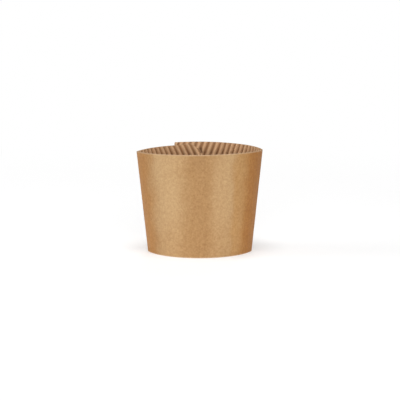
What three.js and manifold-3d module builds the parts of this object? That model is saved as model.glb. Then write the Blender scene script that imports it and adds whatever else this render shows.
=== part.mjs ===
// Coffee cup sleeve: single-face corrugated board, die-cut, rolled into a cone and glued up the back.
// Millimetres, +Z up. The sleeve stands on z = 0 with its front to -Y, its two creases at -X and +X
// and its glued overlap at +Y. The smooth liner is outside and the flutes are inside.
import * as THREE from "three";
import { mergeVertices } from "three/addons/utils/BufferGeometryUtils.js";
import Module from "manifold-3d";

const wasm = await Module();
wasm.setup();

// Sleeve: the widths are between the creases, and the depths are from the line of the creases.
const FOOT_WIDTH = 63;
const TOP_WIDTH = 76.2;
const SLANT_HEIGHT = 62;
const FOOT_DEPTH_FRONT = 23.5;
const FOOT_DEPTH_BACK = 26.5;
const BACK_LEAN = 0.12; // to the right, for each millimetre behind the line of the creases
const CREASE_ANGLE = THREE.MathUtils.degToRad(72); // that each half has turned through at the crease
const CREASE_LENGTH = 1.5; // of each half that the rounding of the crease takes

// Board
const FLUTE_PITCH = 3.45;
const LINER_THICKNESS = 0.35;
const MEDIUM_THICKNESS = 0.3;
const FLUTE_HEIGHT = 0.95; // rise of the medium from valley to crest
const BOARD_THICKNESS = LINER_THICKNESS + MEDIUM_THICKNESS + FLUTE_HEIGHT;
const FLUTE_SKEW = THREE.MathUtils.degToRad(3.5); // of the flutes in the blank, from the middle of the front

// Overlap: the left flap is the inner one. The flaps' lengths run along the rim from the middle of the back.
const OUTER_FLAP_LENGTH = 17;
const INNER_FLAP_LENGTH = 8.5;
const CORNER_LENGTH = 15; // of the cut corners of the inner flap, along the rim
const CORNER_HEIGHT = 8;
const JOGGLE_LENGTH = 10; // over which the outer flap steps out over the inner one
const FLAP_GAP = 0.35;
const GLUE_WIDTH = 7;
const GLUE_INSET = 5; // from the rims
const GLUE_BITE = 0.15; // into the paper on both sides
const TILT_OF_TOP = 3.1; // off centre of the top edge's arc, which leaves the inner flap a little low

// Mesh
const ROWS = 5; // along a flute
const BOW = -0.01; // of the board as it is drawn
const END_MARGIN = 0.25; // left off the pointed ends of the blank
const SECTION_POINTS = 900;

// The section at the foot, from the middle of the front anticlockwise.
function halfSection(depth, middleAngle) {
  const reach = FOOT_WIDTH / 2 / Math.sin(CREASE_ANGLE);
  const rise = depth / (1 - Math.cos(CREASE_ANGLE));
  const centre = -Math.sin(middleAngle) * rise * Math.cos(CREASE_ANGLE);
  const trim = CREASE_LENGTH / rise;
  const half = CREASE_ANGLE - trim;
  return { centre, reach, rise, half };
}

function halfArc({ centre, reach, rise }, from, to) {
  return new THREE.EllipseCurve(0, centre, reach, rise, from, to, false, 0);
}

function makeSection() {
  const front = halfSection(FOOT_DEPTH_FRONT, -Math.PI / 2);
  const back = halfSection(FOOT_DEPTH_BACK, Math.PI / 2);
  const frontRight = halfArc(front, -Math.PI / 2, -Math.PI / 2 + front.half);
  const frontLeft = halfArc(front, -Math.PI / 2 - front.half, -Math.PI / 2);
  const backArc = halfArc(back, Math.PI / 2 - back.half, Math.PI / 2 + back.half);
  const crease = (start, x, end) =>
    new THREE.QuadraticBezierCurve(start, new THREE.Vector2(x, 0), end);
  const path = new THREE.CurvePath();
  path.add(frontRight);
  path.add(crease(frontRight.getPoint(1), FOOT_WIDTH / 2, backArc.getPoint(0)));
  path.add(backArc);
  path.add(crease(backArc.getPoint(1), -FOOT_WIDTH / 2, frontLeft.getPoint(0)));
  path.add(frontLeft);
  const lean = (p) => new THREE.Vector2(p.x + BACK_LEAN * Math.max(0, p.y), p.y);
  return path.getSpacedPoints(SECTION_POINTS).slice(0, SECTION_POINTS).map(lean);
}

// The cone: its rulings run from the apex through the section, and the angle between them, added up
// from the middle of the front, is the angle in the flat blank.
const TAPER = (TOP_WIDTH - FOOT_WIDTH) / 2 / SLANT_HEIGHT;
const APEX_DROP = (FOOT_WIDTH / 2) * Math.sqrt(1 / TAPER ** 2 - 1);
const apex = new THREE.Vector3(0, 0, -APEX_DROP);
const rulings = makeSection().map((p) => new THREE.Vector3(p.x, p.y, APEX_DROP).normalize());
const rulingAngles = [0];
for (let i = 1; i <= rulings.length; i++) {
  const turn = rulings[i - 1].angleTo(rulings[i % rulings.length]);
  rulingAngles.push(rulingAngles[i - 1] + turn);
}
const FULL_ANGLE = rulingAngles[rulings.length];

function rulingAt(angle) {
  const a = THREE.MathUtils.euclideanModulo(angle, FULL_ANGLE);
  let low = 0;
  let high = rulings.length;
  while (high - low > 1) {
    const middle = (low + high) >> 1;
    if (rulingAngles[middle] <= a) low = middle;
    else high = middle;
  }
  const part = (a - rulingAngles[low]) / (rulingAngles[high] - rulingAngles[low]);
  const ruling = (i) => rulings[(i + rulings.length) % rulings.length];
  const tangentAt = (i) => new THREE.Vector3().subVectors(ruling(i + 1), ruling(i - 1));
  const along = ruling(low).clone().lerp(ruling(high), part).normalize();
  const tangent = tangentAt(low).lerp(tangentAt(high), part);
  const inward = new THREE.Vector3().crossVectors(along, tangent).normalize();
  return { along, inward };
}

// The blank, in angles about the apex.
const footRadius = (angle, depth) => {
  const { along, inward } = rulingAt(angle);
  return (APEX_DROP - depth * inward.z) / along.z;
};
const TOP_RADIUS = footRadius(0, 0) + SLANT_HEIGHT;
const topRadius = (angle) => TOP_RADIUS + TILT_OF_TOP * Math.sin(angle);
const OUTER_END = FULL_ANGLE / 2 + OUTER_FLAP_LENGTH / TOP_RADIUS;
const INNER_END = -FULL_ANGLE / 2 - INNER_FLAP_LENGTH / TOP_RADIUS;

// How far inwards of the cone the liner lies: the outer flap steps out over the end of the inner one.
function joggle(angle) {
  const over = INNER_END + FULL_ANGLE;
  const start = over - JOGGLE_LENGTH / TOP_RADIUS;
  return -(BOARD_THICKNESS + FLAP_GAP) * THREE.MathUtils.smoothstep(angle, start, over);
}

function rolled(angle, radius, depth) {
  const { along, inward } = rulingAt(angle);
  return apex.clone().addScaledVector(along, radius).addScaledVector(inward, depth);
}

// Flute coordinates: across the flutes, and along them from the apex.
const across = (radius, angle) => radius * Math.sin(angle - FLUTE_SKEW);
const alongFlute = (radius, angle) => radius * Math.cos(angle - FLUTE_SKEW);

function onArc(x, radiusAt) {
  let y = Math.sqrt(TOP_RADIUS ** 2 - x ** 2);
  for (let i = 0; i < 12; i++) {
    const radius = radiusAt(Math.atan2(x, y) + FLUTE_SKEW);
    y = Math.sqrt(radius ** 2 - x ** 2);
  }
  return y;
}

function lineThrough([x0, y0], [x1, y1]) {
  return (x) => y0 + ((x - x0) * (y1 - y0)) / (x1 - x0);
}

const cornerPoint = (angle, radius) => [across(radius, angle), alongFlute(radius, angle)];
const innerTop = topRadius(INNER_END);
const innerFoot = footRadius(INNER_END, 0);
const cutTop = [
  cornerPoint(INNER_END, innerTop - CORNER_HEIGHT),
  cornerPoint(INNER_END + CORNER_LENGTH / innerTop, topRadius(INNER_END + CORNER_LENGTH / innerTop)),
];
const cutFoot = [
  cornerPoint(INNER_END, innerFoot + CORNER_HEIGHT),
  cornerPoint(INNER_END + CORNER_LENGTH / innerFoot, innerFoot),
];
const topCorner = lineThrough(...cutTop);
const footCorner = lineThrough(...cutFoot);

// Where the flute at x begins and ends: on the rims, on the ends of the blank or on the cut corners.
function fluteEnds(x, depth) {
  let low = onArc(x, (angle) => footRadius(angle, depth + joggle(angle)));
  let high = onArc(x, topRadius);
  if (x > 0) low = Math.max(low, x / Math.tan(OUTER_END - FLUTE_SKEW));
  if (x < 0) {
    low = Math.max(low, -x / Math.tan(FLUTE_SKEW - INNER_END));
    if (x < cutFoot[1][0]) low = Math.max(low, footCorner(x));
    if (x < cutTop[1][0]) high = Math.min(high, topCorner(x));
  }
  return [low, high];
}

// The board's end view: the liner, the wavy medium on it and an open channel in each flute.
const LEFT = cutTop[0][0] + END_MARGIN;
const RIGHT = across(topRadius(OUTER_END), OUTER_END) - END_MARGIN;
const FLUTES = Math.round((RIGHT - LEFT) / FLUTE_PITCH);
const PITCH = (RIGHT - LEFT) / FLUTES;
const bow = (x) => BOW * x * x;
const medium = (phase) => (FLUTE_HEIGHT / 2) * (1 - Math.cos(2 * Math.PI * phase));

// One flute of the end view. Its outside has a point in the middle, which the bow keeps out of line.
function fluteProfile(number) {
  const point = (phase, y) => {
    const x = LEFT + (number + phase) * PITCH;
    return new THREE.Vector2(x, y + bow(x));
  };
  const valley = LINER_THICKNESS + MEDIUM_THICKNESS;
  const outside = [0, 0.5, 1].map((phase) => point(phase, 0));
  const waves = [6, 5, 4, 3, 2, 1, 0].map((i) => point(i / 6, valley + medium(i / 6)));
  const roof = [0.7, 0.5, 0.3].map((phase) => point(phase, LINER_THICKNESS + medium(phase)));
  const floor = [0.1, 0.9].map((phase) => point(phase, LINER_THICKNESS));
  const shape = new THREE.Shape([...outside, ...waves]);
  shape.holes.push(new THREE.Path([...floor, ...roof]));
  return shape;
}

// The faces where one flute's drawing ends and the next begins are left out, so the board is one body.
function withoutInnerFaces(geometry) {
  const position = geometry.attributes.position;
  const ends = [0, FLUTES].map((i) => Math.fround(LEFT + i * PITCH));
  const kept = [];
  for (let i = 0; i < position.count; i += 3) {
    const corners = [i, i + 1, i + 2];
    const x = corners.map((corner) => position.getX(corner));
    const isSide = x[0] === x[1] && x[1] === x[2];
    if (isSide && !ends.includes(x[0])) continue;
    for (const corner of corners) {
      kept.push(position.getX(corner), position.getY(corner), position.getZ(corner));
    }
  }
  return new THREE.BufferGeometry().setAttribute("position", new THREE.Float32BufferAttribute(kept, 3));
}

function bare(geometry) {
  geometry.deleteAttribute("normal");
  geometry.deleteAttribute("uv");
  return mergeVertices(geometry, 1e-4);
}

function bend(geometry, place) {
  const position = geometry.attributes.position;
  const p = new THREE.Vector3();
  for (let i = 0; i < position.count; i++) {
    p.copy(place(position.getX(i), position.getY(i), position.getZ(i)));
    position.setXYZ(i, p.x, p.y, p.z);
  }
  return geometry;
}

function rolledBoard() {
  const settings = { depth: 1, steps: ROWS, bevelEnabled: false };
  const flutes = Array.from({ length: FLUTES }, (_, i) => fluteProfile(i));
  const drawn = new THREE.ExtrudeGeometry(flutes, settings);
  return bend(bare(withoutInnerFaces(drawn)), (x, y, z) => {
    const depth = y - bow(x);
    const [low, high] = fluteEnds(x, depth);
    const along = THREE.MathUtils.lerp(low, high, z);
    const angle = Math.atan2(x, along) + FLUTE_SKEW;
    return rolled(angle, Math.hypot(x, along), depth + joggle(angle));
  });
}

// The band of glue between the flaps, which also stands for the paper that it soaks.
function glueBand() {
  const from = -FLAP_GAP - GLUE_BITE;
  const to = GLUE_BITE;
  const middle = (OUTER_END + (INNER_END + FULL_ANGLE)) / 2;
  const flat = bare(new THREE.BoxGeometry(1, 1, 1, 4, 1, 1));
  return bend(flat, (x, y, z) => {
    const angle = middle + (x * GLUE_WIDTH) / TOP_RADIUS;
    const low = footRadius(angle, 0) + GLUE_INSET;
    const high = TOP_RADIUS - GLUE_INSET;
    return rolled(angle, THREE.MathUtils.lerp(low, high, z + 0.5), y > 0 ? to : from);
  });
}

function solid(geometry) {
  const triVerts = new Uint32Array(geometry.index.array);
  const vertProperties = geometry.attributes.position.array;
  return new wasm.Manifold(new wasm.Mesh({ numProp: 3, vertProperties, triVerts }));
}

function geometryOf(body) {
  const mesh = body.getMesh();
  const geometry = new THREE.BufferGeometry();
  geometry.setAttribute("position", new THREE.BufferAttribute(mesh.vertProperties, 3));
  geometry.setIndex(new THREE.BufferAttribute(mesh.triVerts, 1));
  geometry.computeVertexNormals();
  return geometry;
}

const kraft = new THREE.MeshStandardMaterial({ color: 0xc39b6c, roughness: 0.85 });
const board = solid(rolledBoard());
const sleeve = new THREE.Mesh(geometryOf(board.add(solid(glueBand()))), kraft);
sleeve.name = "sleeve";

// The origin is in the middle of the box around the sleeve, at its foot.
sleeve.geometry.computeBoundingBox();
const middle = sleeve.geometry.boundingBox.getCenter(new THREE.Vector3());
sleeve.geometry.translate(-middle.x, -middle.y, 0);

const part = new THREE.Group();
part.add(sleeve);
export default part;
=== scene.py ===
# %% [markdown]
# # Coffee cup sleeve
# A cup sleeve is a strip of single-face corrugated board. A smooth sheet of kraft paper, the liner, is
# outside, and a wavy sheet, the medium, is glued to it by its crests. The strip is cut as a piece of a
# ring, rolled into a cone, creased at two sides so that it ships flat, and glued where its ends overlap.
#
# Everything below follows those steps: a flat blank, a rule that rolls it, paper, and light. The packed
# model is loaded first, because it fixes the size and the place of everything. Units are metres.

import math

import bpy
import numpy as np
from mathutils import Matrix, Vector


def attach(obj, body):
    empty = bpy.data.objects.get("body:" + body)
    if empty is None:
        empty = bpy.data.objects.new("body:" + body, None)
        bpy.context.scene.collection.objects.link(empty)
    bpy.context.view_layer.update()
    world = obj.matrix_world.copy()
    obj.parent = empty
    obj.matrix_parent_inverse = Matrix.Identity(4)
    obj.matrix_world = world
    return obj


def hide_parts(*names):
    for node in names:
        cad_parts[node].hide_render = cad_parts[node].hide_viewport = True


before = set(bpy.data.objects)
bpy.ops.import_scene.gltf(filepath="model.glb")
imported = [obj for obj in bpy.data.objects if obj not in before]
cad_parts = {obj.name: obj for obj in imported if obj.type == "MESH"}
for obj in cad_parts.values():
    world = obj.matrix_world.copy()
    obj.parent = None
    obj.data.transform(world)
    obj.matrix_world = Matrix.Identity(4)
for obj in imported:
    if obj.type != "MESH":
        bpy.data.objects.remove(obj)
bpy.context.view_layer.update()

# %% [markdown]
# ## Section at the foot
# Seen from above, the sleeve isn't round. It remembers the two creases it was folded flat at, so its
# foot is two shallow arcs that meet at the sides. Two parts of ellipses with a small rounding between
# them describe that with three sizes: the width, and the depth of the front and of the back. A circle
# would be simpler, but it would lose the pointed sides that give the sleeve its look.

# %% Sizes of the sleeve
MM = 0.001
FOOT_WIDTH, TOP_WIDTH, SLANT_HEIGHT = 63 * MM, 76.2 * MM, 62 * MM
FRONT_DEPTH, BACK_DEPTH = 23.5 * MM, 26.5 * MM  # from the line between the creases
BACK_LEAN = 0.12  # of the back to the right, for its distance behind that line
CREASE_ANGLE = math.radians(72)  # that each half has turned through at the crease
CREASE_LENGTH = 1.5 * MM
ARC_POINTS, CREASE_POINTS = 600, 24  # along each half, and round each crease

taper = (TOP_WIDTH - FOOT_WIDTH) / 2 / SLANT_HEIGHT
APEX_DROP = FOOT_WIDTH / 2 * math.sqrt(1 / taper**2 - 1)
print(f"the cone's apex is {APEX_DROP / MM:.1f} mm under the foot")


# %% The section, as points
def foot_arc(depth, towards):
    """Half of the section, anticlockwise: the front half is towards -1 and the back half towards 1."""
    reach = FOOT_WIDTH / 2 / math.sin(CREASE_ANGLE)
    rise = depth / (1 - math.cos(CREASE_ANGLE))
    half = CREASE_ANGLE - CREASE_LENGTH / rise
    turn = towards * math.pi / 2 + np.linspace(-half, half, ARC_POINTS)
    centre = -towards * rise * math.cos(CREASE_ANGLE)
    return np.stack([reach * np.cos(turn), centre + rise * np.sin(turn)], 1)


def crease(start, x, end):
    """A short curve from start to end that rounds the corner at (x, 0)."""
    t = np.linspace(0, 1, CREASE_POINTS)[1:-1, None]
    return (1 - t) ** 2 * start + 2 * t * (1 - t) * np.array([x, 0.0]) + t**2 * end


front, back = foot_arc(FRONT_DEPTH, -1), foot_arc(BACK_DEPTH, 1)
section = np.concatenate([
    front[ARC_POINTS // 2:], crease(front[-1], FOOT_WIDTH / 2, back[0]),
    back, crease(back[-1], -FOOT_WIDTH / 2, front[0]), front[:ARC_POINTS // 2],
])
section[:, 0] += BACK_LEAN * np.maximum(section[:, 1], 0)
print(len(section), "points round the foot, from the middle of the front")

# %% [markdown]
# ## Rulings
# A cone unrolls into a flat sheet without stretching. Every straight line from the apex, a ruling, keeps
# its length, and the angle between two neighbouring rulings is the same on the cone and in the flat
# sheet. If each ruling is given the length 1, their tips lie on a curve on a unit ball, and the length
# along that curve is the angle in the flat blank. That one curve holds the whole rolling rule, and a
# Sample Curve node can read it. The same numbers are used here to find where the rims are cut.

# %% Unit rulings and the angle of each one in the flat blank
rulings = np.column_stack([section, np.full(len(section), APEX_DROP)])
rulings /= np.linalg.norm(rulings, axis=1)[:, None]
closed = np.vstack([rulings, rulings[:1]])
steps = np.linalg.norm(np.diff(closed, axis=0), axis=1)
ruling_angles = np.concatenate([[0.0], np.cumsum(steps)])
FULL_ANGLE = ruling_angles[-1]
sideways = np.roll(rulings, -1, 0) - np.roll(rulings, 1, 0)
inwards = np.cross(rulings, sideways)
inwards /= np.linalg.norm(inwards, axis=1)[:, None]
closed_in = np.vstack([inwards, inwards[:1]])
print(f"the blank of the cone turns through {math.degrees(FULL_ANGLE):.2f} degrees")


def ruling_height(angle):
    """How much of a ruling's length is height, and the same for the line inwards through the board."""
    a = np.mod(angle, FULL_ANGLE)
    return np.interp(a, ruling_angles, closed[:, 2]), np.interp(a, ruling_angles, closed_in[:, 2])


# %% [markdown]
# ## Overlap
# The left end of the strip is inside, and the right end steps out over it. The ends run along
# rulings. The two corners of the inner end are cut off, as on real sleeves, so that a cup doesn't catch
# on them. The top edge is cut a little off centre, so the inner end lies lower than the outer one, and
# it stops just short of the middle of the back.

# %% Sizes of the board and the overlap
BOARD, GAP = 1.6 * MM, 0.35 * MM
LINER, MEDIUM = 0.28 * MM, 0.22 * MM  # thickness of the two papers
OUTER_FLAP, INNER_FLAP = 17 * MM, -1.0 * MM  # along the rim, past the middle of the back
CORNER_LENGTH, CORNER_HEIGHT = 6 * MM, 4 * MM
STEP_PLACE, STEP_LENGTH = 8.5 * MM, 10 * MM  # the outer end has stepped out this far before that middle
TOP_TILT, INNER_RISE = 3.1 * MM, 0.4 * MM  # off centre, and how much of that the inner end makes good
RISE_PLACE = 9 * MM  # from the middle of the back, where it has risen by all of that

TOP_RADIUS = APEX_DROP / ruling_height(0.0)[0] + SLANT_HEIGHT
OUTER_END = FULL_ANGLE / 2 + OUTER_FLAP / TOP_RADIUS
INNER_END = -FULL_ANGLE / 2 - INNER_FLAP / TOP_RADIUS
STEP_END = FULL_ANGLE / 2 - STEP_PLACE / TOP_RADIUS
STEP_START = STEP_END - STEP_LENGTH / TOP_RADIUS
RISE_START, RISE_END = OUTER_FLAP / TOP_RADIUS - FULL_ANGLE / 2, RISE_PLACE / TOP_RADIUS - FULL_ANGLE / 2
print(f"the blank runs from {math.degrees(INNER_END):.2f} to {math.degrees(OUTER_END):.2f} degrees")

# %% [markdown]
# ## Flutes that fan out
# The flutes of real board are parallel in the flat blank. Rolled up, they cross at the overlap, and they
# lean more the further the blank turns. This cone's blank turns through 33 degrees, which gives leans
# of 19 degrees left and 12 degrees right of the overlap. The photo shows about 28 and 20, as on a blank
# that turns through 48 degrees. So the flutes are drawn on a blank whose angles are 1.45 times as large.
# Distances from its centre are changed to match, so that small shapes keep their form, and the flutes
# come out 3.4 mm apart at the rim and 3.7 mm at the foot. Bending each flute by hand could give the same
# leans, but then neighbours wouldn't stay evenly apart.

# %% Sizes of the flutes
FLUTE_PITCH, FLUTE_SKEW = 3.41 * MM, math.radians(4.0)
VALLEY = -0.2 * MM  # where one valley lies, because the board is cut anywhere in a flute
FAN = 1.45  # times as much as the rulings turn, the flutes do
print(f"the flutes are drawn on a blank that turns through {math.degrees(FAN * FULL_ANGLE):.1f} degrees")


# %% Rims and cut corners in the flat blank
def step_in(angle):
    """How far inside the cone the board lies. The outer end lies outside it, by the board and the gap."""
    t = np.clip((angle - STEP_START) / (STEP_END - STEP_START), 0, 1)
    return -(BOARD + GAP) * t * t * (3 - 2 * t)


def foot_radius(angle):
    """The distance from the apex at which the board meets the table."""
    rise, tilt = ruling_height(angle)
    return (APEX_DROP - step_in(angle) * tilt) / rise


def top_radius(angle):
    """The distance from the apex of the top edge, which is cut off centre."""
    t = np.clip((angle - RISE_START) / (RISE_END - RISE_START), 0, 1)
    return TOP_RADIUS + TOP_TILT * np.sin(angle) + INNER_RISE * t * t * (3 - 2 * t)


def fanned(radius):
    """The distance from the fan's centre of a point at this distance from the apex."""
    return TOP_RADIUS / FAN * (radius / TOP_RADIUS) ** FAN


def flat(angle, radius):
    """Across the flutes and along them, from the point that the fan of flutes turns about."""
    turned, away = FAN * angle - FLUTE_SKEW, fanned(radius)
    return np.array([away * np.sin(turned), away * np.cos(turned)])


def line(a, b):
    """The straight line through two points, as a function of x."""
    return lambda x: a[1] + (x - a[0]) * (b[1] - a[1]) / (b[0] - a[0])


inner_top, inner_foot = float(top_radius(INNER_END)), float(foot_radius(INNER_END))
top_corner = INNER_END + CORNER_LENGTH / inner_top
foot_corner = INNER_END + CORNER_LENGTH / inner_foot
top_cut = flat(INNER_END, inner_top - CORNER_HEIGHT), flat(top_corner, top_radius(top_corner))
foot_cut = flat(INNER_END, inner_foot + CORNER_HEIGHT), flat(foot_corner, foot_radius(foot_corner))
END_MARGIN = 0.25 * MM  # so that the first and the last line along the flutes have some length
BLANK_LEFT = top_cut[0][0] + END_MARGIN
BLANK_RIGHT = flat(OUTER_END, float(top_radius(OUTER_END)))[0] - END_MARGIN
FLUTES = round((BLANK_RIGHT - BLANK_LEFT) / FLUTE_PITCH)
print(f"about {FLUTES} flutes, {FLUTE_PITCH / MM:.2f} mm apart at the rim")


# %% Where each line along a flute starts and ends
ROUNDS = 12  # each round brings the points nearer to the rim


def on_rim(x, radius_at):
    """How far along the flutes the rim lies at x."""
    y = np.sqrt(fanned(TOP_RADIUS) ** 2 - x**2)
    for _ in range(ROUNDS):
        y = np.sqrt(fanned(radius_at((np.arctan2(x, y) + FLUTE_SKEW) / FAN)) ** 2 - x**2)
    return y


def flute_ends(x):
    """The lowest and the highest point of the board at x: a rim, an end of the strip or a cut corner."""
    low, high = on_rim(x, foot_radius), on_rim(x, top_radius)
    low = np.where(x > 0, np.maximum(low, x / math.tan(FAN * OUTER_END - FLUTE_SKEW)), low)
    low = np.where(x < 0, np.maximum(low, -x / math.tan(FLUTE_SKEW - FAN * INNER_END)), low)
    low = np.where(x < foot_cut[1][0], np.maximum(low, line(*foot_cut)(x)), low)
    high = np.where(x < top_cut[1][0], np.minimum(high, line(*top_cut)(x)), high)
    return low, high


# %% [markdown]
# ## The flat blank
# The blank is drawn as a grid whose columns run along the flutes. The paper bends only across the
# flutes and slowly along them, so a flute gets many columns and few rows. Cutting a finer shape out of
# a plain grid would leave ragged rims. Here each column starts on one cut edge and ends on the other.

# %% A flat blank of one paper
def blank_mesh(name, columns_per_flute, rows=20, inset=0.0):
    """A grid that fills the blank, with each point's distance from the nearest rim stored on it."""
    columns = FLUTES * columns_per_flute + 1
    x = np.linspace(BLANK_LEFT, BLANK_RIGHT, columns)
    low, high = flute_ends(x)
    low, high = low + inset, high - inset
    share = np.linspace(0, 1, rows)[:, None]
    y = low + share * (high - low)
    points = np.stack([np.broadcast_to(x, y.shape), y, np.zeros_like(y)], 2).reshape(-1, 3)
    i = (np.arange(rows - 1)[:, None] * columns + np.arange(columns - 1)).ravel()
    faces = np.stack([i, i + 1, i + 1 + columns, i + columns], 1)
    mesh = bpy.data.meshes.new(name)
    mesh.from_pydata(points.tolist(), [], faces.tolist())
    rim = np.minimum(y - low, high - y).ravel()
    mesh.attributes.new("rim", "FLOAT", "POINT").data.foreach_set("value", rim.astype(np.float32))
    print(f"{name}: {len(faces)} faces before rolling")
    return mesh


# %% [markdown]
# ## Rolling with Geometry Nodes
# The tree moves each point of a flat blank to its place on the cone. From its place in the blank it
# takes the distance from the apex and the angle. The ruling curve, sampled at that angle, gives the
# direction of the ruling, and the cross product with the curve's tangent gives the direction into the
# cup. The wave of the flutes, the step of the outer end and a little unevenness are added in that
# direction. A Curve modifier could bend a strip too, but it would stretch the taper.

# %% The curve that holds the rolling rule
def curve_through(name, points):
    """A closed curve of straight pieces, as an object that a tree can read."""
    curve = bpy.data.curves.new(name, "CURVE")
    curve.dimensions = "3D"
    spline = curve.splines.new("POLY")
    spline.points.add(len(points) - 1)
    spline.points.foreach_set("co", np.column_stack([points, np.ones(len(points))]).ravel())
    spline.use_cyclic_u = True
    holder = bpy.data.objects.new(name, curve)
    bpy.context.scene.collection.objects.link(holder)
    return holder


ruling_curve = curve_through("ruling_curve", rulings)
print("ruling curve with", len(rulings), "points")


# %% Small helpers for node trees
def add(tree, kind, **settings):
    """A new node, with settings such as its operation."""
    node = tree.nodes.new(kind)
    for name, value in settings.items():
        setattr(node, name, value)
    return node


def feed(tree, socket, value):
    """Give a socket its value: a link from another node's output, or a number or colour."""
    if isinstance(value, bpy.types.NodeSocket):
        tree.links.new(value, socket)
    else:
        socket.default_value = value


def calculate(tree, operation, *values):
    """The result of a Math node."""
    node = add(tree, "ShaderNodeMath", operation=operation)
    for socket, value in zip(node.inputs, values):
        feed(tree, socket, value)
    return node.outputs[0]


def combine(tree, operation, *values):
    """The result of a Vector Math node, as a vector."""
    node = add(tree, "ShaderNodeVectorMath", operation=operation)
    for socket, value in zip([s for s in node.inputs if s.enabled], values):
        feed(tree, socket, value)
    return node.outputs[0]


def length_of(tree, vector):
    """The length of a vector, which is a Vector Math node's other output."""
    node = add(tree, "ShaderNodeVectorMath", operation="LENGTH")
    feed(tree, node.inputs[0], vector)
    return node.outputs["Value"]


def new_input(tree, name, kind, default=None):
    """Add a named input to a tree. A modifier sets it by the identifier that this returns."""
    socket = tree.interface.new_socket(name, in_out="INPUT", socket_type="NodeSocket" + kind)
    if default is not None:
        socket.default_value = default
    return socket.identifier


# %% The tree: its inputs
roll = bpy.data.node_groups.new("roll_the_blank", "GeometryNodeTree")
roll.is_modifier = True
new_input(roll, "Blank", "Geometry")
roll.interface.new_socket("Rolled", in_out="OUTPUT", socket_type="NodeSocketGeometry")
SOCKET = {"Rulings": new_input(roll, "Rulings", "Object"), "Paper": new_input(roll, "Paper", "Material")}
SIZES = {
    "Apex Drop": APEX_DROP, "Top Radius": TOP_RADIUS, "Full Angle": FULL_ANGLE,
    "Fan": FAN, "Flute Skew": FLUTE_SKEW, "Flute Pitch": FLUTE_PITCH, "Valley": VALLEY,
    "Flute Height": 0.0, "Base Depth": 0.0,
    "Step Start": STEP_START, "Step End": STEP_END, "Step Depth": -(BOARD + GAP),
    "Unevenness": 0.0, "Middle X": 0.0, "Middle Y": 0.0,
}
for name, value in SIZES.items():
    SOCKET[name] = new_input(roll, name, "Float", float(value))
SOCKET["Seed"] = new_input(roll, "Seed", "Float", 7.0)
print("inputs:", ", ".join(SOCKET))

# %% The tree: angle and distance of a point in the blank
group_in = add(roll, "NodeGroupInput")
given = {socket.name: socket for socket in group_in.outputs}
place = add(roll, "ShaderNodeSeparateXYZ")
feed(roll, place.inputs[0], add(roll, "GeometryNodeInputPosition").outputs[0])
x_flat, y_flat = place.outputs[0], place.outputs[1]
turned = calculate(roll, "ADD", calculate(roll, "ARCTAN2", x_flat, y_flat), given["Flute Skew"])
angle = calculate(roll, "DIVIDE", turned, given["Fan"])
flat_place = add(roll, "ShaderNodeCombineXYZ")
feed(roll, flat_place.inputs[0], x_flat)
feed(roll, flat_place.inputs[1], y_flat)
share = calculate(roll, "MULTIPLY", length_of(roll, flat_place.outputs[0]), given["Fan"])
share = calculate(roll, "DIVIDE", share, given["Top Radius"])
share = calculate(roll, "POWER", share, calculate(roll, "DIVIDE", 1.0, given["Fan"]))
radius = calculate(roll, "MULTIPLY", share, given["Top Radius"])
print(len(roll.nodes), "nodes so far")

# %% The tree: the ruling at that angle, and the way inwards
rule = add(roll, "GeometryNodeObjectInfo")
feed(roll, rule.inputs["Object"], given["Rulings"])
along = add(roll, "GeometryNodeSampleCurve", mode="LENGTH", data_type="FLOAT")
feed(roll, along.inputs["Curves"], rule.outputs["Geometry"])
feed(roll, along.inputs["Length"], calculate(roll, "FLOORED_MODULO", angle, given["Full Angle"]))
ruling = combine(roll, "NORMALIZE", along.outputs["Position"])
inward = combine(roll, "NORMALIZE", combine(roll, "CROSS_PRODUCT", ruling, along.outputs["Tangent"]))
print(len(roll.nodes), "nodes so far")

# %% The tree: how deep the paper lies at that point
DENTS_PER_METRE = 110.0  # so a dent is about 9 mm across
LOW_NOISE = 0.35  # below the middle of the noise, so that most dents go inwards
phase = calculate(roll, "SUBTRACT", x_flat, given["Valley"])
phase = calculate(roll, "DIVIDE", phase, given["Flute Pitch"])
swing = calculate(roll, "COSINE", calculate(roll, "MULTIPLY", phase, 2 * math.pi))
crest = calculate(roll, "MULTIPLY_ADD", swing, -0.5, 0.5)
step = add(roll, "ShaderNodeMapRange", interpolation_type="SMOOTHSTEP")
feed(roll, step.inputs["Value"], angle)
feed(roll, step.inputs["From Min"], given["Step Start"])
feed(roll, step.inputs["From Max"], given["Step End"])
rough = add(roll, "ShaderNodeTexNoise", noise_dimensions="4D")
feed(roll, rough.inputs["Vector"], flat_place.outputs[0])
feed(roll, rough.inputs["W"], given["Seed"])
feed(roll, rough.inputs["Scale"], DENTS_PER_METRE)
wobble = calculate(roll, "SUBTRACT", rough.outputs["Fac"], LOW_NOISE)
wobble = calculate(roll, "MULTIPLY", wobble, given["Unevenness"])
depth = calculate(roll, "MULTIPLY_ADD", crest, given["Flute Height"], given["Base Depth"])
depth = calculate(roll, "MULTIPLY_ADD", step.outputs["Result"], given["Step Depth"], depth)
depth = calculate(roll, "ADD", depth, wobble)
print(len(roll.nodes), "nodes so far")


# %% The tree: the place on the cone
def scaled(vector, length):
    """A direction, made this long."""
    node = add(roll, "ShaderNodeVectorMath", operation="SCALE")
    feed(roll, node.inputs[0], vector)
    feed(roll, node.inputs["Scale"], length)
    return node.outputs[0]


shift = add(roll, "ShaderNodeCombineXYZ")
feed(roll, shift.inputs[0], calculate(roll, "MULTIPLY", given["Middle X"], -1.0))
feed(roll, shift.inputs[1], calculate(roll, "MULTIPLY", given["Middle Y"], -1.0))
feed(roll, shift.inputs[2], calculate(roll, "MULTIPLY", given["Apex Drop"], -1.0))
on_cone = combine(roll, "ADD", scaled(ruling, radius), scaled(inward, depth))
on_cone = combine(roll, "ADD", on_cone, shift.outputs[0])

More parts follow.
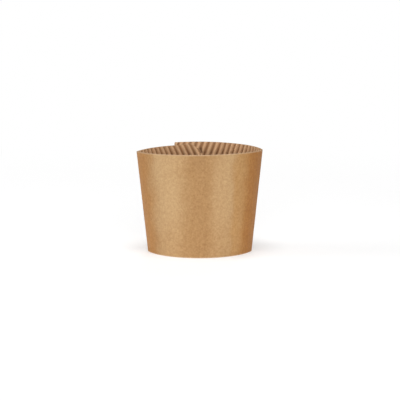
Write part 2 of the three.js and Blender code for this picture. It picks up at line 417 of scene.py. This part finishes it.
keep_flat = add(roll, "GeometryNodeStoreNamedAttribute", data_type="FLOAT_VECTOR", domain="POINT")
feed(roll, keep_flat.inputs["Geometry"], given["Blank"])
feed(roll, keep_flat.inputs["Name"], "blank")
feed(roll, keep_flat.inputs["Value"], flat_place.outputs[0])
keep_crest = add(roll, "GeometryNodeStoreNamedAttribute", data_type="FLOAT", domain="POINT")
feed(roll, keep_crest.inputs["Geometry"], keep_flat.outputs["Geometry"])
feed(roll, keep_crest.inputs["Name"], "crest")
feed(roll, keep_crest.inputs["Value"], crest)
bend = add(roll, "GeometryNodeSetPosition")
feed(roll, bend.inputs["Geometry"], keep_crest.outputs["Geometry"])
feed(roll, bend.inputs["Position"], on_cone)
real = add(roll, "GeometryNodeRealizeInstances")
feed(roll, real.inputs["Geometry"], bend.outputs["Geometry"])
dress = add(roll, "GeometryNodeSetMaterial")
feed(roll, dress.inputs["Geometry"], real.outputs["Geometry"])
feed(roll, dress.inputs["Material"], given["Paper"])
feed(roll, add(roll, "NodeGroupOutput").inputs["Rolled"], dress.outputs["Geometry"])
print(len(roll.nodes), "nodes in the tree")

# %% [markdown]
# ## Kraft paper
# Kraft paper is brown because its pulp isn't bleached. Up close it is a cloudy mat of fibres: soft
# light and dark patches, finer streaks along the machine direction, and a few dark specks. Noises at
# several scales give that, read from the flat blank, so that the streaks run with the paper and turn
# with it. A photo of paper would repeat and would carry its own light.


# %% Helpers for paper materials
def new_paper(name, roughness, gloss=0.2):
    """A material with one shader, which is still to be given its colour."""
    material = bpy.data.materials.new(name)
    material.use_nodes = True
    tree = material.node_tree
    tree.nodes.clear()
    shader = add(tree, "ShaderNodeBsdfPrincipled")
    shader.inputs["Roughness"].default_value = roughness
    shader.inputs["Specular IOR Level"].default_value = gloss
    output = add(tree, "ShaderNodeOutputMaterial")
    feed(tree, output.inputs["Surface"], shader.outputs["BSDF"])
    return material, tree, shader


def stored(tree, name, output="Fac"):
    """What the blank or the rolling tree stored on the paper under this name."""
    node = add(tree, "ShaderNodeAttribute", attribute_name=name, attribute_type="GEOMETRY")
    return node.outputs[output]


def paper_place(tree, across, up):
    """The flat blank's coordinates, stretched so that one noise cell is across by up, in millimetres."""
    mapping = add(tree, "ShaderNodeMapping")
    feed(tree, mapping.inputs["Vector"], stored(tree, "blank", "Vector"))
    mapping.inputs["Scale"].default_value = (1000 / across, 1000 / up, 1)
    return mapping.outputs["Vector"]


def noise(tree, across, up, detail=2.0, roughness=0.5, seed=0.0):
    """Soft noise from 0 to 1 in the flat blank. One cell is across by up, in millimetres."""
    node = add(tree, "ShaderNodeTexNoise", noise_dimensions="4D")
    feed(tree, node.inputs["Vector"], paper_place(tree, across, up))
    node.inputs["W"].default_value = seed
    node.inputs["Scale"].default_value = 1.0
    node.inputs["Detail"].default_value = detail
    node.inputs["Roughness"].default_value = roughness
    return node.outputs["Fac"]


def ramp(tree, value, low, high, colour_low, colour_high):
    """One colour up to the low value, another from the high value on, and a mix in between."""
    node = add(tree, "ShaderNodeValToRGB")
    feed(tree, node.inputs["Fac"], value)
    node.color_ramp.elements[0].position, node.color_ramp.elements[1].position = low, high
    node.color_ramp.elements[0].color = (*colour_low, 1)
    node.color_ramp.elements[1].color = (*colour_high, 1)
    return node.outputs["Color"]


def grey(tree, value, reach, spread):
    """A grey round 0.5. It varies by the spread while the value is within the reach from 0.5."""
    return ramp(tree, value, 0.5 - reach, 0.5 + reach, (0.5 - spread,) * 3, (0.5 + spread,) * 3)


def blend(tree, kind, share, first, second):
    """The first colour, with this share of the second one blended in."""
    node = add(tree, "ShaderNodeMix", data_type="RGBA", blend_type=kind)
    feed(tree, node.inputs["Factor"], share)
    feed(tree, node.inputs["A"], first)
    feed(tree, node.inputs["B"], second)
    return node.outputs["Result"]


def bump(tree, shader, height_value, distance, strength):
    """Make the light see small heights that the mesh doesn't have."""
    node = add(tree, "ShaderNodeBump")
    node.inputs["Strength"].default_value = strength
    node.inputs["Distance"].default_value = distance
    feed(tree, node.inputs["Height"], height_value)
    feed(tree, shader.inputs["Normal"], node.outputs["Normal"])


# %% [markdown]
# ## Painted sheen and painted shade on the liner
# The front of the sleeve in the photo isn't one tone. Left and right of the middle the paper is painted
# paler and duller, less so near the foot: a painted sheen, where two soft boxes would be mirrored. Towards
# the creases it is painted a deeper orange, most of all in front of the right one: a painted shade, where
# the light falls off. The paper's colour follows the angle from the middle of the front for that. Gloss
# was tried first, but a gloss strong enough for these bands also veils the creases.

# %% The angle in the blank, and soft bands along it
def angle_in_blank(tree):
    """The angle from the middle of the front, as in the rolling tree."""
    parts = add(tree, "ShaderNodeSeparateXYZ")
    feed(tree, parts.inputs[0], stored(tree, "blank", "Vector"))
    turned = calculate(tree, "ARCTAN2", parts.outputs[0], parts.outputs[1])
    turned = calculate(tree, "ADD", turned, FLUTE_SKEW)
    return calculate(tree, "DIVIDE", turned, FAN)


def slope(tree, value, start, end, value_at_start, value_at_end):
    """A smooth change from one value to another."""
    node = add(tree, "ShaderNodeMapRange", interpolation_type="SMOOTHSTEP")
    feed(tree, node.inputs["Value"], value)
    node.inputs["From Min"].default_value, node.inputs["From Max"].default_value = start, end
    node.inputs["To Min"].default_value = value_at_start
    node.inputs["To Max"].default_value = value_at_end
    return node.outputs["Result"]


def band(tree, value, middle, full, none):
    """1 while the value is no further than full from the middle, and 0 from none on."""
    off = calculate(tree, "ABSOLUTE", calculate(tree, "SUBTRACT", value, middle))
    return slope(tree, off, full, none, 1.0, 0.0)


# %% Tones of the liner, and where each one lies
# The paler, duller tone is a painted sheen, and the two deeper oranges are painted shade towards the
# creases.
PLAIN, PAINTED_SHEEN, SCUFFED = (0.436, 0.243, 0.099, 1), (0.565, 0.360, 0.177, 1), (0.66, 0.47, 0.30, 1)
WARM, CREASE_SHADE, RIGHT_CREASE_SHADE = (0.510, 0.283, 0.110, 1), (0.465, 0.217, 0.062, 1), (0.437, 0.175, 0.035, 1)
# Each band: its middle, half the width that has the full tone, and half of all its width, in radians.
LEFT_SHEEN_BAND, RIGHT_SHEEN_BAND = (-0.061, 0.008, 0.055), (0.050, 0.006, 0.043)
WARM_BAND, CREASE_SHADE_BAND, RIGHT_CREASE_SHADE_BAND = (0.082, 0.008, 0.026), (0.146, 0.02, 0.068), (0.122, 0.01, 0.046)
RIGHT_SHEEN_SHARE, FOOT_SHARE, RIGHT_CREASE_SHADE_SHARE, SCUFF_SHARE = 0.80, 0.6, 0.75, 0.45
WANDER = 0.03  # how far the edges of the bands wander, in radians
FADE_START, FADE_END = 30 * MM, 56 * MM  # below the top edge, where the painted sheen bands fade
SCUFF_FULL, SCUFF_END = 0.2 * MM, 0.7 * MM  # from a rim
for side, sheen_band in (("left", LEFT_SHEEN_BAND), ("right", RIGHT_SHEEN_BAND)):
    print(f"{side} rubbed band {sheen_band[0] * TOP_RADIUS / MM:.1f} mm from the middle, at the top")

# %% The liner's paper: its tone
liner_paper, tree, shader = new_paper("kraft_liner", 0.5)
turned = angle_in_blank(tree)
wander = calculate(tree, "MULTIPLY_ADD", noise(tree, 9, 14, detail=1, seed=5), WANDER, -WANDER / 2)
turned = calculate(tree, "ADD", turned, wander)
# Painted sheen: paler, duller bands left and right of the middle of the front, weaker near the foot.
sheen = calculate(tree, "MULTIPLY_ADD", band(tree, turned, *RIGHT_SHEEN_BAND), RIGHT_SHEEN_SHARE,
                   band(tree, turned, *LEFT_SHEEN_BAND))
kept = slope(tree, length_of(tree, stored(tree, "blank", "Vector")),
             fanned(TOP_RADIUS - FADE_END), fanned(TOP_RADIUS - FADE_START), FOOT_SHARE, 1.0)
tone = blend(tree, "MIX", calculate(tree, "MULTIPLY", sheen, kept), PLAIN, PAINTED_SHEEN)
tone = blend(tree, "MIX", band(tree, turned, *WARM_BAND), tone, WARM)
# Painted shade: a deeper orange towards both creases, where the light falls off.
either_side = calculate(tree, "ABSOLUTE", turned)
tone = blend(tree, "MIX", band(tree, either_side, *CREASE_SHADE_BAND), tone, CREASE_SHADE)
# More painted shade in front of the right crease.
right_crease_shade = calculate(tree, "MULTIPLY", band(tree, turned, *RIGHT_CREASE_SHADE_BAND), RIGHT_CREASE_SHADE_SHARE)
tone = blend(tree, "MIX", right_crease_shade, tone, RIGHT_CREASE_SHADE)
scuffed = band(tree, stored(tree, "rim"), 0.0, SCUFF_FULL, SCUFF_END)
tone = blend(tree, "MIX", calculate(tree, "MULTIPLY", scuffed, SCUFF_SHARE), tone, SCUFFED)
print("tone of the liner:", len(tree.nodes), "nodes")

# %% The liner's paper: its grain
SPECK, SPECK_STRENGTH = (0.45, 0.34, 0.25, 1), (0.5, 0.5, 0.5, 1)
SPECK_FROM, SPECK_FULL = 0.74, 0.80  # only the highest values of the noise become specks
clouds = noise(tree, 7, 9, detail=3, seed=1)
mottle = noise(tree, 1.9, 2.1, detail=2, seed=2)
grain = noise(tree, 1.0, 1.1, detail=1, seed=6)
fibres = noise(tree, 0.22, 0.8, detail=2, roughness=0.6, seed=3)
specks = noise(tree, 0.55, 0.75, detail=1, seed=4)
colour = blend(tree, "SOFT_LIGHT", 0.5, tone, grey(tree, clouds, 0.2, 0.06))
for layer, strength in ((mottle, 0.65), (grain, 0.65), (fibres, 0.3)):
    colour = blend(tree, "SOFT_LIGHT", strength, colour, grey(tree, layer, 0.25, 0.14))
dark = ramp(tree, specks, SPECK_FROM, SPECK_FULL, (0, 0, 0), (1, 1, 1))
dark = blend(tree, "MULTIPLY", 1.0, dark, SPECK_STRENGTH)
colour = blend(tree, "MULTIPLY", dark, colour, SPECK)
feed(tree, shader.inputs["Base Color"], colour)
bump(tree, shader, fibres, distance=0.04 * MM, strength=0.5)
print("kraft_liner:", len(tree.nodes), "nodes")

# %% [markdown]
# ## The medium
# The wavy paper is a lighter grade with more recycled pulp, and it looks pinker and duller than the
# liner. The valleys between its crests see little of the room and look dark. The crest value that the
# tree stored says how far into the cup each point lies, so it carries painted shade in the valleys. The
# distance from the rim adds painted light on the crests near the rim and painted shade further in. Just
# beside the inner end of the overlap, a short dark line on the medium is a painted shadow of that end.

# %% The medium's paper
VALLEY_UP_TO, CREST_FROM = 0.1, 0.95  # of the height of a flute
# The valley colours are painted shade. The crests are painted paler near the rim, a painted light, and
# darker further in, a painted shade.
SHADED_VALLEY_AT_RIM, LIT_CREST_AT_RIM = (0.335, 0.175, 0.080), (0.640, 0.400, 0.225)
SHADED_VALLEY_DEEP, SHADED_CREST_DEEP = (0.215, 0.105, 0.045), (0.580, 0.355, 0.195)
RIM_UP_TO, DEEP_FROM = 1 * MM, 8 * MM  # from a rim

medium_paper, tree, shader = new_paper("kraft_medium", 0.7)
crest_value, rim = stored(tree, "crest"), stored(tree, "rim")
clouds = noise(tree, 6, 8, detail=3, seed=11)
fibres = noise(tree, 0.35, 0.9, detail=2, roughness=0.6, seed=12)
# Painted shade in the valleys, and painted light on the crests near the rim that turns into painted shade
# further into the cup.
at_rim = ramp(tree, crest_value, VALLEY_UP_TO, CREST_FROM, SHADED_VALLEY_AT_RIM, LIT_CREST_AT_RIM)
deeper = ramp(tree, crest_value, VALLEY_UP_TO, CREST_FROM, SHADED_VALLEY_DEEP, SHADED_CREST_DEEP)
colour = blend(tree, "MIX", band(tree, rim, 0.0, RIM_UP_TO, DEEP_FROM), deeper, at_rim)
patches = ramp(tree, clouds, 0.3, 0.7, (0.42, 0.40, 0.40), (0.58, 0.60, 0.60))
colour = blend(tree, "SOFT_LIGHT", 0.5, colour, patches)
colour = blend(tree, "SOFT_LIGHT", 0.5, colour, grey(tree, fibres, 0.25, 0.14))
print("paper of the medium:", len(tree.nodes), "nodes")

# %% A painted shadow of the inner end on the medium
# A short dark line just beside the inner end: a painted shadow of that end.
END_SHADOW, END_SHADOW_SHARE = (0.12, 0.055, 0.022, 1), 0.8
HALF_LINE, HALF_WITH_EDGES = 0.4 * MM / TOP_RADIUS, 1.1 * MM / TOP_RADIUS
BELOW_RIM, HALF_LENGTH, HALF_LENGTH_WITH_ENDS = 5.6 * MM, 1.1 * MM, 2.4 * MM
beside = INNER_END + FULL_ANGLE - HALF_LINE
end_shadow = band(tree, angle_in_blank(tree), beside, HALF_LINE, HALF_WITH_EDGES)
beside_rim = band(tree, rim, BELOW_RIM, HALF_LENGTH, HALF_LENGTH_WITH_ENDS)
end_shadow = calculate(tree, "MULTIPLY", end_shadow, beside_rim)
colour = blend(tree, "MIX", calculate(tree, "MULTIPLY", end_shadow, END_SHADOW_SHARE), colour, END_SHADOW)
feed(tree, shader.inputs["Base Color"], colour)
bump(tree, shader, fibres, distance=0.05 * MM, strength=0.5)
print("kraft_medium:", len(tree.nodes), "nodes")

# %% [markdown]
# ## Cut edges and glue
# A die cuts the strip out, and its cut edges show the torn ends of the fibres, paler and rougher than
# the faces. They could be drawn with bump alone, but their colour is what shows at this size. The
# glue is a white cold glue that dries to a dull yellowish film.

# %% The cut edges and the glue
cut_edge, tree, shader = new_paper("cut_edge", 0.85)
fibres = noise(tree, 0.25, 0.25, detail=2, roughness=0.6, seed=21)
colour = ramp(tree, fibres, 0.3, 0.7, (0.43, 0.29, 0.165), (0.60, 0.42, 0.26))
feed(tree, shader.inputs["Base Color"], colour)
bump(tree, shader, fibres, distance=0.05 * MM, strength=0.6)
dried_glue, tree, shader = new_paper("dried_glue", 0.35)
clouds = noise(tree, 1.5, 2.5, detail=2, seed=31)
colour = ramp(tree, clouds, 0.3, 0.7, (0.50, 0.41, 0.27), (0.62, 0.53, 0.38))
feed(tree, shader.inputs["Base Color"], colour)
bump(tree, shader, clouds, distance=0.1 * MM, strength=0.4)
print("materials:", cut_edge.name, "and", dried_glue.name)

# %% [markdown]
# ## From blank to paper
# The two papers are a quarter of a millimetre thick, and their cut edges show at the rims. Each one is a
# blank with the rolling tree, and then Solidify, which gives the paper its thickness towards the inside
# of the cup. Both faces could be drawn in the blank instead, but rolled first and thickened after, they
# stay parallel. The result is taken from the evaluated object as a plain mesh.

# %% Roll one blank
SHARP_ANGLE = math.radians(50)  # so that the cut edges stay crisp and the flutes smooth


def rolled(name, blank, paper, edge, thickness, sizes):
    """A piece of paper or glue: a flat blank, rolled by the tree and thickened."""
    flat_object = bpy.data.objects.new(name + "_flat", blank)
    bpy.context.scene.collection.objects.link(flat_object)
    modifier = flat_object.modifiers.new("roll", "NODES")
    modifier.node_group = roll
    modifier[SOCKET["Rulings"]] = ruling_curve
    modifier[SOCKET["Paper"]] = paper
    for key, value in {**SIZES, **sizes}.items():
        modifier[SOCKET[key]] = float(value)
    blank.materials.append(paper)
    blank.materials.append(edge)
    thick = flat_object.modifiers.new("paper", "SOLIDIFY")
    thick.thickness, thick.offset, thick.use_even_offset = thickness, -1, True
    thick.material_offset_rim = 1
    graph = bpy.context.evaluated_depsgraph_get()
    mesh = bpy.data.meshes.new_from_object(flat_object.evaluated_get(graph), depsgraph=graph)
    bpy.data.objects.remove(flat_object)
    mesh.shade_smooth()
    mesh.set_sharp_from_angle(angle=SHARP_ANGLE)
    piece = bpy.data.objects.new(name, mesh)
    bpy.context.scene.collection.objects.link(piece)
    corners = np.array([v.co for v in mesh.vertices])
    low, high = (corners.min(0) / MM).round(2), (corners.max(0) / MM).round(2)
    print(name, len(mesh.polygons), "faces, from", low, "to", high)
    return piece


# %% Roll the liner and the medium
MIDDLE = {"Middle X": 0.0645 * MM, "Middle Y": 2.823 * MM}
WASHBOARD = 0.03 * MM  # the liner is drawn in a little where the medium is glued to it
WITHIN = 0.01 * MM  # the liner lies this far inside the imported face, to leave room for its unevenness
UNEVENNESS = 0.05 * MM
BEHIND_LINER = 0.05 * MM  # the medium ends this far short of the liner at the rims

liner_blank = blank_mesh("liner_blank", columns_per_flute=8)
liner = rolled("liner", liner_blank, liner_paper, cut_edge, LINER,
               {**MIDDLE, "Flute Height": -WASHBOARD, "Base Depth": WASHBOARD + WITHIN,
                "Unevenness": UNEVENNESS})
medium_blank = blank_mesh("medium_blank", columns_per_flute=12, inset=BEHIND_LINER)
medium = rolled("medium", medium_blank, medium_paper, cut_edge, MEDIUM,
                {**MIDDLE, "Flute Height": BOARD - LINER - MEDIUM, "Base Depth": LINER})

# %% [markdown]
# ## Glue
# Cold glue joins the two ends. It is laid as a few beads that squeeze flat between the ends. Each bead
# is a narrow strip of the same blank, rolled by the same tree to lie in the gap. One flat box could
# stand for the glue too, but it wouldn't follow the cone, and it would show from the rim.

# %% Glue beads between the two ends
BEADS, BEAD_PITCH, BEAD_WIDTH = 3, 3 * MM, 1.8 * MM
BEAD_MARGIN = 5 * MM  # from the rims
BEAD_SINK = 0.05 * MM  # into each of the two faces that it joins
BEAD_COLUMNS, BEAD_ROWS = 7, 24
BLUNTNESS, TIP = 8, 0.02  # of the ends: a lower bluntness makes them longer, and the tip keeps them open


def bead_mesh(middle_angle, width):
    """A narrow strip along a ruling, with rounded ends."""
    turn = np.linspace(-width / 2, width / 2, BEAD_COLUMNS) / TOP_RADIUS + middle_angle
    low, high = float(foot_radius(0.0)) + BEAD_MARGIN, TOP_RADIUS - BEAD_MARGIN
    share = np.linspace(0, 1, BEAD_ROWS)
    taper_in = np.sqrt(np.clip(1 - (2 * share - 1) ** BLUNTNESS, TIP, 1))
    points, faces = [], []
    for s, t in zip(share, taper_in):
        for a in turn:
            x, y = flat(middle_angle + (a - middle_angle) * t, low + s * (high - low))
            points.append((x, y, 0))
    for j in range(len(share) - 1):
        for i in range(len(turn) - 1):
            k = j * len(turn) + i
            faces.append((k, k + 1, k + 1 + len(turn), k + len(turn)))
    mesh = bpy.data.meshes.new("bead_blank")
    mesh.from_pydata(points, [], faces)
    return mesh


beads = []
seam = (OUTER_END + STEP_END) / 2
for number in range(BEADS):
    from_seam = (number - (BEADS - 1) / 2) * BEAD_PITCH
    bead_blank = bead_mesh(seam + from_seam / TOP_RADIUS, BEAD_WIDTH)
    bead = rolled(f"glue_bead_{number + 1}", bead_blank, dried_glue, dried_glue, GAP + 2 * BEAD_SINK,
                  {**MIDDLE, "Step Depth": 0.0, "Base Depth": -GAP - BEAD_SINK})
    beads.append(bead)
bpy.data.objects.remove(ruling_curve)

# %% [markdown]
# ## Joining the model
# The sleeve is one piece that doesn't move in itself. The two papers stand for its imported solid, and the
# beads of glue are added to them. All of them ride on its one body.

# %% Tell the frame what each piece is
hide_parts("sleeve")
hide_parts("sleeve")
for piece in [liner, medium, *beads]:
    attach(piece, "root")

# %% [markdown]
# ## Floor and background
# The sleeve stands on a plain pale floor. Close to it the floor is real, so that it carries a soft
# shadow. Further off it turns into even white for the camera, and so does the world behind it, while
# the light on the sleeve comes only from the lamps and a plain grey world. A floor that is bright
# enough to look white by its light alone would also throw that light up on the sleeve.

# %% Floor
FLOOR_REACH = 3
corners = [(-FLOOR_REACH, -FLOOR_REACH, 0), (FLOOR_REACH, -FLOOR_REACH, 0),
           (FLOOR_REACH, FLOOR_REACH, 0), (-FLOOR_REACH, FLOOR_REACH, 0)]
floor_mesh = bpy.data.meshes.new("floor")
floor_mesh.from_pydata(corners, [], [(0, 1, 2, 3)])
floor = bpy.data.objects.new("floor", floor_mesh)
bpy.context.scene.collection.objects.link(floor)
print("floor", 2 * FLOOR_REACH, "m wide")

# %% The floor's paint
FLOOR_GREY, FLOOR_LIFT = (0.7, 0.7, 0.7, 1), 0.34  # its colour, and what it glows by itself
REAL_UP_TO, WHITE_FROM = 0.12, 0.5  # from the middle of the sleeve


def seen_directly(tree):
    """1 for the camera, and in mirrors and glass."""
    rays = add(tree, "ShaderNodeLightPath")
    seen = calculate(tree, "MAXIMUM", rays.outputs["Is Camera Ray"], rays.outputs["Is Glossy Ray"])
    return calculate(tree, "MAXIMUM", seen, rays.outputs["Is Transmission Ray"])


floor_paint = bpy.data.materials.new("floor_paint")
floor_paint.use_nodes = True
tree = floor_paint.node_tree
tree.nodes.clear()
matte = add(tree, "ShaderNodeBsdfDiffuse")
matte.inputs["Color"].default_value = FLOOR_GREY
lift = add(tree, "ShaderNodeEmission")
feed(tree, lift.inputs["Strength"], calculate(tree, "MULTIPLY", seen_directly(tree), FLOOR_LIFT))
near = add(tree, "ShaderNodeAddShader")
feed(tree, near.inputs[0], matte.outputs[0])
feed(tree, near.inputs[1], lift.outputs[0])
far = add(tree, "ShaderNodeEmission")
feed(tree, far.inputs["Strength"], seen_directly(tree))
distance = length_of(tree, add(tree, "ShaderNodeTexCoord").outputs["Object"])
mixed = add(tree, "ShaderNodeMixShader")
feed(tree, mixed.inputs["Fac"], slope(tree, distance, REAL_UP_TO, WHITE_FROM, 0.0, 1.0))
feed(tree, mixed.inputs[1], near.outputs[0])
feed(tree, mixed.inputs[2], far.outputs[0])
feed(tree, add(tree, "ShaderNodeOutputMaterial").inputs["Surface"], mixed.outputs[0])
floor_mesh.materials.append(floor_paint)
print("floor_paint:", len(tree.nodes), "nodes")

# %% World
WORLD_LIGHT = 0.1
world = bpy.data.worlds.new("room")
bpy.context.scene.world = world
world.use_nodes = True
tree = world.node_tree
tree.nodes.clear()
room = add(tree, "ShaderNodeBackground")
room.inputs["Color"].default_value = (1, 1, 1, 1)
white = calculate(tree, "MULTIPLY_ADD", seen_directly(tree), 1 - WORLD_LIGHT, WORLD_LIGHT)
feed(tree, room.inputs["Strength"], white)
feed(tree, add(tree, "ShaderNodeOutputWorld").inputs["Surface"], room.outputs[0])
print("world light", WORLD_LIGHT)

# %% [markdown]
# ## Lamps
# Product photos are lit with large soft boxes. The photo's sleeve is brightest in front and on the
# fluted back wall, and its right side is darker than its left one. A lamp in front and one above do
# most of that, and weaker ones at the sides and behind fill the rest. One large sky could light it as
# softly, but it would leave no difference between the sides.

# %% Lamps
LAMP_DISTANCE, LAMP_SIZE = 1.2, 0.6
LIT_POINT = Vector((0, 0, 0.03))


def softbox(name, azimuth, elevation, power):
    """A square lamp that looks at the sleeve. Azimuth 0 is in front and positive to the right."""
    a, e = math.radians(azimuth), math.radians(elevation)
    away = Vector((math.sin(a) * math.cos(e), -math.cos(a) * math.cos(e), math.sin(e)))
    lamp = bpy.data.lights.new(name, "AREA")
    lamp.size, lamp.energy = LAMP_SIZE, power
    holder = bpy.data.objects.new(name, lamp)
    holder.location = LIT_POINT + away * LAMP_DISTANCE
    holder.rotation_mode = "QUATERNION"
    holder.rotation_quaternion = away.to_track_quat("Z", "Y")
    bpy.context.scene.collection.objects.link(holder)


softbox("front_softbox", azimuth=0, elevation=13, power=8.0)
softbox("right_softbox", azimuth=35, elevation=20, power=2.4)
softbox("left_softbox", azimuth=-90, elevation=20, power=5.0)
softbox("top_softbox", azimuth=0, elevation=80, power=8.0)
softbox("back_softbox", azimuth=170, elevation=35, power=3.5)

# %% [markdown]
# ## Camera
# The photo was taken from a little above, with a long lens. The place of the camera was worked out from
# the outline of the sleeve: 1 m away, about 9 degrees above the horizon, and turned half a degree aside.
# A camera set by eye would look alike, but the outline and the rim wouldn't meet the photo's everywhere.

# %% Camera
DISTANCE, DOWN, YAW, ROLL = 1.0, 0.1563, -0.0086, 0.0025  # angles in radians
AIM_X, AIM_Z = 0.1400 * MM, 30.6093 * MM  # the point that it looks at
FOCAL_PIXELS, FRAME_PIXELS, SENSOR = 1660.5, 400, 36  # the sensor's width in millimetres
turn = Matrix.Rotation(-YAW, 3, "Z")
eye = turn @ Vector((AIM_X, -DISTANCE * math.cos(DOWN), AIM_Z + DISTANCE * math.sin(DOWN)))
right = turn @ Vector((1, 0, 0))
up = turn @ Vector((0, math.sin(DOWN), math.cos(DOWN)))
camera_x = right * math.cos(ROLL) - up * math.sin(ROLL)
camera_y = right * math.sin(ROLL) + up * math.cos(ROLL)
camera_z = camera_x.cross(camera_y)
camera = bpy.data.objects.new("camera", bpy.data.cameras.new("camera"))
bpy.context.scene.collection.objects.link(camera)
aim = Matrix((camera_x, camera_y, camera_z)).transposed().to_4x4()
camera.matrix_world = Matrix.Translation(eye) @ aim
camera.data.sensor_width = SENSOR
camera.data.lens = SENSOR * FOCAL_PIXELS / FRAME_PIXELS
camera.data.clip_start, camera.data.clip_end = 0.05, 50
bpy.context.scene.camera = camera
bpy.context.scene.view_settings.view_transform = "Standard"
print(f"lens {camera.data.lens:.1f} mm")
